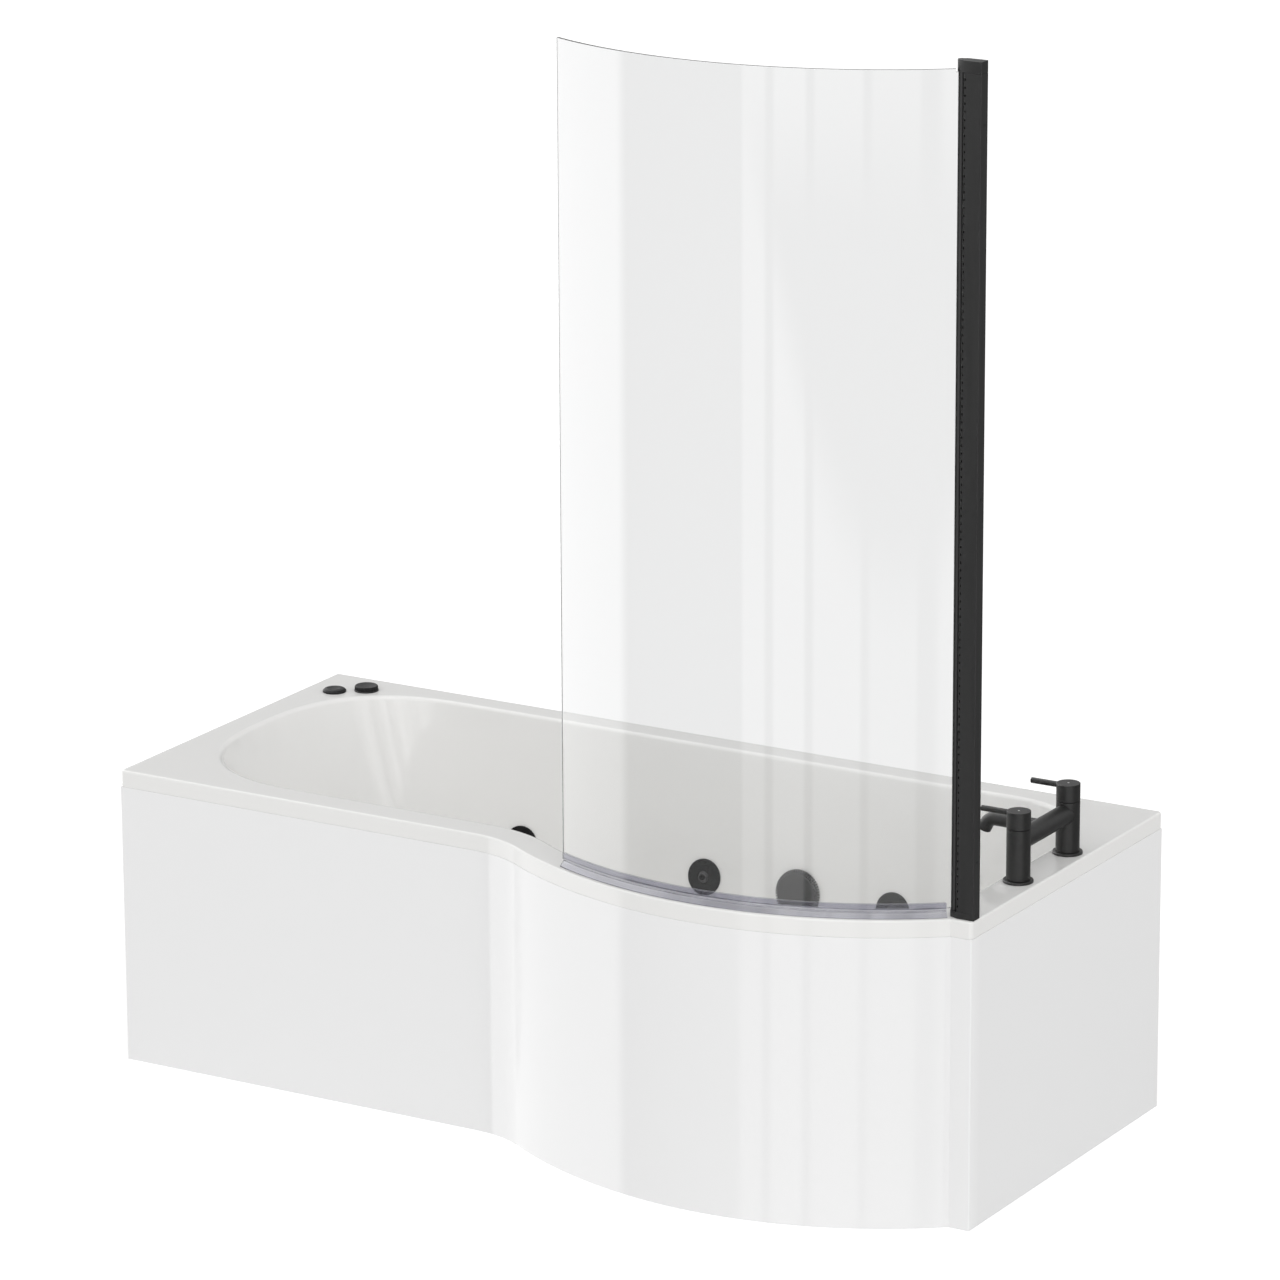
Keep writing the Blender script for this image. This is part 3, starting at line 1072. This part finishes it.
def make_hose():
    """A corrugated hose on a rounded path: its radius is HOSE_R + RIPPLE sin(2 pi s / pitch), with
    smooth cuffs at both ends."""
    origin, axes = on_tap_end(OVERFLOW_Z)
    top = origin - axes[:, 2] * OUTLET_BACK - axes[:, 1] * OUTLET_DROP
    corner = top[0] - HOSE_BEND_X
    bends = [(top[0], top[2]), (corner, HOSE_BEND_Z), (corner, TRAP_Z), (TRAP_X, TRAP_Z)]
    path, at = even_steps(softened(bends, [0, 0.05, 0.03, 0], 14, closed=False), 1.25 * MM)
    ripple = np.sin(at * 2 * np.pi / RIPPLE_PITCH)
    cuff = (at < CUFF_L) | (at > at[-1] - CUFF_L)
    radius = np.where(cuff, CUFF_R, HOSE_R + RIPPLE * ripple) * MM
    piece("overflow_pipe", [tube(xyz(path[:, 0], TAP_Y, path[:, 1]), radius, (0, 1, 0), 40)],
          "hose_grey", replaces=["overflow_hose"], sharp=None)


# --- Bath filler
PILLAR_R, BRIDGE_R, SPOUT_R, LEVER_R, ELBOW_R = 20.5, 17.5, 12.0, 5.0, 20.0
BRIDGE_INTO = 19.6          # the bridge ends on a round wall of this radius inside each pillar
BRIDGE_Z, LEVER_Z = RIM + 0.071, RIM + 0.118
JOINT_H, GRIP_H = 93, 124   # above the rim: where the grips turn on the pillars, and their tops
SPOUT_REACH = 0.090
NOSE = math.radians(65)


def bridge():
    """A level tube between the pillars, its ends shaped to lie just inside their round walls."""
    angle = np.linspace(0, 2 * np.pi, 96, endpoint=False)
    x = BRIDGE_R * np.cos(angle) * MM
    z = BRIDGE_Z + BRIDGE_R * np.sin(angle) * MM
    first, last = TAP_YS
    reach = np.sqrt((BRIDGE_INTO * MM) ** 2 - x ** 2)
    low, high = first + reach, last - reach
    rows = [xyz(TAP_X + x, low + (high - low) * t, z) for t in np.linspace(0, 1, 9)]
    ends = [[TAP_X, y, BRIDGE_Z] for y in (first + BRIDGE_INTO * MM, last - BRIDGE_INTO * MM)]
    return skin(np.array(rows), caps=ends)


def make_filler():
    """Two pillars, the bridge, and a spout that turns down to its ringed mouth, over flanges."""
    pillar = profile_of([(0, JOINT_H - 30, 0), (14, JOINT_H - 30, 0.5), (14, JOINT_H, 0.4),
                         (PILLAR_R, JOINT_H, 0.6), (PILLAR_R, 5, 0.3), (0, 5, 0)])
    parts = [turned(pillar, 128, upright(TAP_X, y, RIM)) for y in TAP_YS] + [bridge()]
    bend = np.array([TAP_X - SPOUT_REACH, TAP_Y, BRIDGE_Z - ELBOW_R * MM])
    turn = np.linspace(np.pi / 2, np.pi / 2 + NOSE, 22)
    elbow = bend + ELBOW_R * MM * xyz(np.cos(turn), 0.0, np.sin(turn))
    straight = xyz(np.linspace(TAP_X, bend[0] + 0.002, 8), TAP_Y, BRIDGE_Z)
    parts.append(tube(np.vstack([straight, elbow]), SPOUT_R * MM, (0, 1, 0), 80))
    down = [-math.sin(turn[-1]), 0, math.cos(turn[-1])]
    mouth = profile_of([(0, 1, 0), (9.5, 1, 0.3), (9.5, 9.5, 0.3), (12.4, 9.5, 0.7),
                        (12.4, -0.5, 0.5), (0, -0.5, 0)])
    parts.append(turned(mouth, 96, pointing(elbow[-1], down, (0, 1, 0))))
    piece("filler_body", parts, "matt_black", replaces=["tap_body"])
    foot = profile_of([(13.4, 0.2, 0.2), (26, 0.2, 0.3), (26, 3.1, 0.6), (25.2, 4.5, 0.7),
                       (21, 4.7, 0.3), (13.4, 4.7, 0.2)], True)
    piece("filler_flanges", [turned(foot, 128, upright(TAP_X, y, RIM), True) for y in TAP_YS],
          "matt_black", replaces=["tap_flanges"])


def make_levers():
    """On each pillar a grip with its lever and a silver dot, which ride on the lever's body."""
    grip = profile_of([(0, GRIP_H, 0), (PILLAR_R, GRIP_H, 0.9), (PILLAR_R, JOINT_H + 1, 0.6),
                       (13, JOINT_H + 1, 0.3), (13, JOINT_H + 9, 0.5), (STEM_R, JOINT_H + 9, 0.4),
                       (STEM_R, JOINT_H - 20, 0.5), (0, JOINT_H - 20, 0)])
    lever = profile_of([(0, 17.5, 0), (LEVER_R, 17.5, 0.2), (LEVER_R, 70, 0.9), (0, 70, 0)])
    dot = profile_of([(0, GRIP_H + 0.12, 0), (1.7, GRIP_H + 0.1, 0.1), (1.9, GRIP_H - 0.1, 0.05),
                      (0, GRIP_H - 0.1, 0)])
    for y, side in zip(TAP_YS, ("cold", "hot")):
        pillar = upright(TAP_X, y, RIM)
        stem = pointing([TAP_X, y, LEVER_Z], (-1, 0, 0), (0, 1, 0))
        piece(side + "_grip", [turned(grip, 128, pillar), turned(lever, 64, stem)],
              "matt_black", side + "_lever", [side + "_handle"])
        piece(side + "_index_dot", [turned(dot, 40, pillar)], "index_silver", side + "_lever",
              sharp=None)


# --- Rim controls
KNOB_R, BUTTON_R, BEZEL_HOLE_R, GRIPS = 21.5, 13.0, 14.5, 24
FLUTE_R, FLUTE_OUT = 1.3, 0.5


def knob_flutes(angle, radius, _):
    """Round flutes of radius FLUTE_R, centred FLUTE_OUT outside the knob."""
    offset = (angle * GRIPS / (2 * np.pi) + 0.5) % 1.0 - 0.5
    offset = offset * 2 * np.pi / GRIPS
    side = (KNOB_R + FLUTE_OUT) * np.sin(offset)
    half_chord = np.sqrt(np.maximum(FLUTE_R ** 2 - side ** 2, 0))
    cut = (KNOB_R + FLUTE_OUT) * np.cos(offset) - half_chord
    return np.minimum(radius, np.where(np.abs(side) < FLUTE_R, cut, KNOB_R) * MM)


def make_controls():
    """The air control's fluted knob on its body, and the on and off button in its bezel."""
    at, cup = upright(*KNOB_AT, RIM), UNDER_RIM - 60
    body = profile_of([(0, cup + 6, 0), (4.05, cup + 6, 0.3), (4.05, UNDER_RIM - 40, 0.3),
                       (11, UNDER_RIM - 40, 0.5), (11, 2.5, 0.3), (22.6, 2.5, 1.0),
                       (22.6, 0.2, 0.3), (BEZEL_HOLE_R, 0.2, 0.2), (BEZEL_HOLE_R, cup, 1),
                       (0, cup, 0)])
    piece("air_bezel", [turned(body, 96, at), fluted(22, 1.2, 16, *RIM_NUT, at)],
          "black_plastic", replaces=["air_control_body"])
    knob = profile_of([(0, 8.9, 0), (6, 8.9, 6), (17, 9.6, 3), (19.8, 10, 1.2), (KNOB_R, 8.4, 1.2),
                       (KNOB_R, 2.7, 0.6), (STEM_R, 2.7, 0.5), (STEM_R, cup + 12, 0.5),
                       (0, cup + 12, 0)])
    piece("air_knob", [turned(knob, GRIPS * 16, at, lobes=knob_flutes)], "control_black",
          "air_dial", ["air_control_knob"])
    at = upright(*BUTTON_AT, RIM)
    bezel = profile_of([(0, UNDER_RIM - 24, 0), (13.1, UNDER_RIM - 24, 0.5), (13.1, 6.4, 0.3),
                        (14, 6.4, 0.3), (18.4, 5.9, 3), (21.6, 3, 1.5), (21.6, 0.2, 0.3),
                        (BEZEL_HOLE_R, 0.2, 0.2), (BEZEL_HOLE_R, UNDER_RIM - 34, 1),
                        (3.5, UNDER_RIM - 34, 0.5), (3.5, UNDER_RIM - 44, 0.4),
                        (0, UNDER_RIM - 44, 0)])
    piece("button_bezel", [turned(bezel, 96, at), fluted(21, 1.2, 16, *RIM_NUT, at)],
          "control_black", replaces=["on_off_body"])
    button = profile_of([(0, 5.9, 0), (6, 6, 5), (12.2, 6.6, 0.5), (BUTTON_R, 5.8, 0.4),
                         (BUTTON_R, UNDER_RIM - 12, 0.5), (0, UNDER_RIM - 12, 0)])
    piece("button_cap", [turned(button, 96, at)], "control_black", "push_button",
          ["on_off_button"])


# --- Screen: everything curved is carried round the bow's centre, as (offset from the glass's middle
# radius, height)
GLASS_R = 0.654             # the bow's centre to the middle of the glass
HALF_GLASS, GLASS_EDGE = 0.003, 0.0009
glass_low, glass_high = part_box("glass_panel")
channel_low, channel_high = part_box("wall_channel")
GLASS_Z = (glass_low.z, glass_high.z)
HINGE = np.array([channel_low.x - 0.007, 0.0])
HINGE_A = 360 - math.degrees(math.acos((HINGE[0] - BOW[0]) / GLASS_R))
HINGE[1] = BOW[1] + GLASS_R * math.sin(math.radians(HINGE_A))
# Angles round the bow's centre, in degrees: the glass's ends, the notch by the lug, the seal's ends
GLASS_A0, GLASS_A1 = 245.1, HINGE_A - 0.23
NOTCH_A, NOTCH_Z = HINGE_A - 0.84, channel_high.z - 0.0008
NOTCH_SOFT = 0.004
SEAL_A = (GLASS_A0 + 0.1, HINGE_A - 1.18)
POST_X = (channel_low.x, channel_high.x)
POST_Y = (channel_low.y, channel_high.y)
POST_TOP = channel_high.z + 0.020
SEAL_SECTION = [(4.05, 9.5), (3.05, 9.5), (3.05, -0.2), (-3.05, -0.2), (-3.05, 9.5), (-4.05, 9.5),
                (-4.05, -1.6), (-1.5, -1.6), (-1.5, -4.3), (-7.2, -8.3), (-7.2, -9.5),
                (-1.2, -6.5), (0.6, -6.3), (7.8, -14), (9.6, -14), (9.6, -13.2), (1.5, -3.3),
                (1.5, -1.6), (4.05, -1.6)]
SCREW_ZS = [RIM + 0.099, RIM + 0.713, RIM + 1.327]
SCREW_IN = 0.0095           # the screws' line, back from the post's front face
SINK_R, SINK_DEEP, SCREW_HOLE_R, SCREW_HOLE_DEEP = 3.75, 1.5, 2.1, 9
SLOT_PITCH, SLOT_W, SLOT_H, SLOT_DEEP = 0.013, 0.0021, 0.0042, 0.007
SLOT_IN, SLOT_MARGIN = 0.0036, 0.0083
# Heights of the pivot blocks from the rim's top, and of the upper one from the post's top
LOW_PIVOT, HIGH_PIVOT_H = (0.0002, 0.0109), 0.0197
LUG_R = 0.007
BARREL_R, PANE_SLOT, PANE_SEAT = 6.5, 3.6, 2.28
PIN_R, PIN_DEPTH = 2.0, 0.0232


def bow_strip(sections, angles):
    """A skin through sections of (offset, height) that stand at angles round the bow's centre."""
    sections, angle = np.asarray(sections, float), np.radians(angles)
    radius = GLASS_R + sections[:, :, 0]
    points = np.stack([BOW[0] + radius * np.cos(angle)[:, None],
                       BOW[1] + radius * np.sin(angle)[:, None], sections[:, :, 1]], -1)
    return skin(points)


def eased_run(section, start, end, edge, count):
    """Sections and angles from start to end whose last edge is rounded at both ends."""
    inward = inwards(section)
    lean = np.linspace(0, np.pi / 2, 4)
    step = np.degrees(edge * (1 - np.cos(lean)) / GLASS_R)
    pulled = [section + inward * edge * (1 - math.sin(a)) for a in lean]
    middle = np.linspace(start + step[-1] * 1.4, end - step[-1] * 1.4, count)
    sections = pulled + [section] * count + pulled[::-1]
    return sections, np.concatenate([start + step, middle, end - step[::-1]])


def make_glass():
    """The curved pane with polished edges. Past the notch its top is cut down, clear of the lug."""
    bottom, top = GLASS_Z
    outline = softened([(-HALF_GLASS, bottom), (HALF_GLASS, bottom), (HALF_GLASS, top),
                        (-HALF_GLASS, top)], GLASS_EDGE, steps=3)
    sections, angles = eased_run(outline, GLASS_A0, GLASS_A1, GLASS_EDGE, 220)
    sections = np.array(sections)
    beyond = angles > NOTCH_A
    first = int(np.argmax(beyond))
    upper = sections[:, :, 1] > (bottom + top) / 2
    sections[:, :, 1] -= np.where(upper & beyond[:, None], top - NOTCH_Z, 0.0)
    angles = np.insert(angles, first, [NOTCH_A - NOTCH_SOFT, NOTCH_A + NOTCH_SOFT])
    sections = np.insert(sections, first, sections[first - 1:first + 1].copy(), axis=0)
    piece("curved_pane", [bow_strip(sections, angles)], "clear_glass", "screen", ["glass_panel"],
          sharp=60)


def make_seal():
    """The seal clipped on the pane's lower edge: two legs, a spine, a fin inside and a lip."""
    outline = softened(np.array(SEAL_SECTION) * MM, 0.0003, steps=2)
    outline[:, 1] += GLASS_Z[0]
    sections, angles = eased_run(outline, *SEAL_A, 0.0001, 200)
    piece("bottom_profile", [bow_strip(sections, angles)], "clear_seal", "screen", ["bottom_seal"])


def make_channel():
    """The wall channel with a row of short slots beside the hinge and sunk screws in its end
    face."""
    (x0, x1), (y0, y1) = POST_X, POST_Y
    corners = [(x0 + 0.003, y0), (x1, y0), (x1, y1), (x0, y1), (x0, y0 + 0.004)]
    outline = softened(corners, [0.0006, 0.0008, 0.0008, 0.0006, 0.0006])
    solid = extruded(outline, channel_low.z, channel_high.z, edge=0.0002)
    channel = piece("channel_profile", [solid], "black_aluminium", replaces=["wall_channel"],
                    sharp=None)
    left, right, open_y, deep_y = x0 + SLOT_IN, x0 + SLOT_IN + SLOT_W, y0 - 0.001, y0 + SLOT_DEEP
    slot = [(left, open_y), (right, open_y), (right, deep_y), (left, deep_y)]
    first, last = channel_low.z + SLOT_MARGIN, channel_high.z - SLOT_MARGIN
    cutters = [extruded(slot, z, z + SLOT_H) for z in np.arange(first, last, SLOT_PITCH)]
    sinks = [pointing([x1, y0 + SCREW_IN, z], (1, 0, 0), (0, 1, 0)) for z in SCREW_ZS]
    cutters += [plain_cylinder(SINK_R, -SINK_DEEP, 3, place, 48) for place in sinks]
    cutters += [plain_cylinder(SCREW_HOLE_R, -SCREW_HOLE_DEEP, 0.1 - SINK_DEEP, place, 32)
                for place in sinks]
    cut_away(channel, cutters)
    screw = profile_of([(0, -0.85, 0), (1.5, -0.85, 0.1), (1.5, -0.1, 0.15), (3.6, -0.1, 0.3),
                        (3.6, -1.48, 0.1), (2, -1.48, 0.1), (2, -8, 0.3), (0, -8, 0)])
    piece("channel_fixings", [turned(screw, 48, place) for place in sinks], "black_steel",
          replaces=["channel_screws"])


def make_pivots():
    """The pivot blocks that close the channel at both ends, each with a round lug at the hinge."""
    (x0, x1), (y0, y1) = POST_X, POST_Y
    lug = np.radians(np.linspace(90, 246, 30))
    round_lug = HINGE + LUG_R * np.stack([np.cos(lug), np.sin(lug)], -1)
    block = softened([(x0 + 0.003, y0), (x1, y0), (x1, y1), (x0 + 0.001, y1)], 0.0008, closed=False)
    plan = np.vstack([block, round_lug])
    for name, node, low, high in (
            ("low_pivot", "bottom_pivot_block", RIM + LOW_PIVOT[0], RIM + LOW_PIVOT[1]),
            ("high_pivot", "top_pivot_block", POST_TOP - HIGH_PIVOT_H, POST_TOP)):
        piece(name, [extruded(plan, low, high, edge=0.0003)], "black_aluminium", replaces=[node],
              slot="black_plastic", sharp=40)


def make_barrel():
    """The hinge's round profile, slotted along the pane and bored for the pivot pins."""
    level = math.radians(HINGE_A)
    along = np.array([math.sin(level), -math.cos(level)])
    across = np.array([math.cos(level), math.sin(level)])
    open_at = math.asin(PANE_SLOT / BARREL_R)
    turn = np.linspace(open_at, 2 * np.pi - open_at, 60)
    local = np.vstack([BARREL_R * np.stack([np.cos(turn), np.sin(turn)], -1),
                       [(PANE_SEAT, -PANE_SLOT), (PANE_SEAT, PANE_SLOT)]])
    plan = HINGE + (local[:, :1] * along + local[:, 1:] * across) * MM
    bottom, top = channel_low.z, channel_high.z
    barrel = piece("hinge_barrel", [extruded(plan, bottom + 0.0003, top - 0.0003, edge=0.0003)],
                   "black_aluminium", "screen", ["hinge_profile"], sharp=None)
    bores = ((bottom - 0.001, bottom + PIN_DEPTH), (top - PIN_DEPTH, top + 0.001))
    cut_away(barrel, [plain_cylinder(PIN_R, low / MM, high / MM, upright(*HINGE), 32)
                      for low, high in bores])


# Holes through the shell: how far they reach along each fitting's axis, and their radii
WALL_HOLE, LEVEL_HOLE = (-30, 20), (UNDER_RIM - 5, UNDER_RIM + 13)
JET_HOLE_R, SUCTION_HOLE_R, DRAIN_HOLE_R, TAP_HOLE_R, CONTROL_HOLE_R = 20.3, 27, 26, 14, 15


def open_shell(shell):
    """The holes for every fitting, cut through the acrylic and its laminate."""
    cutters = [plain_cylinder(JET_HOLE_R, *WALL_HOLE, on_side(x, side, JET_Z), 64)
               for x, side in JETS]
    cutters.append(plain_cylinder(SUCTION_HOLE_R, *WALL_HOLE, on_side(SUCTION_X, 1, JET_Z)))
    cutters.append(plain_cylinder(DRAIN_HOLE_R, *WALL_HOLE, on_tap_end(OVERFLOW_Z)))
    cutters.append(plain_cylinder(DRAIN_HOLE_R, *LEVEL_HOLE, upright(*WASTE, FLOOR)))
    cutters += [plain_cylinder(TAP_HOLE_R, *LEVEL_HOLE, upright(TAP_X, y, RIM)) for y in TAP_YS]
    cutters += [plain_cylinder(CONTROL_HOLE_R, *LEVEL_HOLE, upright(*at, RIM))
                for at in (KNOB_AT, BUTTON_AT)]
    cut_away(shell, cutters)


# --- Put everything in place
add_camera()
add_studio()
add_floor()
for node_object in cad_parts.values():
    for held in node_object.material_slots:
        held.material = MATERIALS[held.material.name.split(".")[0]]
open_shell(make_shell())
make_front_panel()
make_end_panel()
make_jets()
make_suction()
make_waste()
make_hose()
make_filler()
make_levers()
make_controls()
make_glass()
make_seal()
make_channel()
make_pivots()
make_barrel()
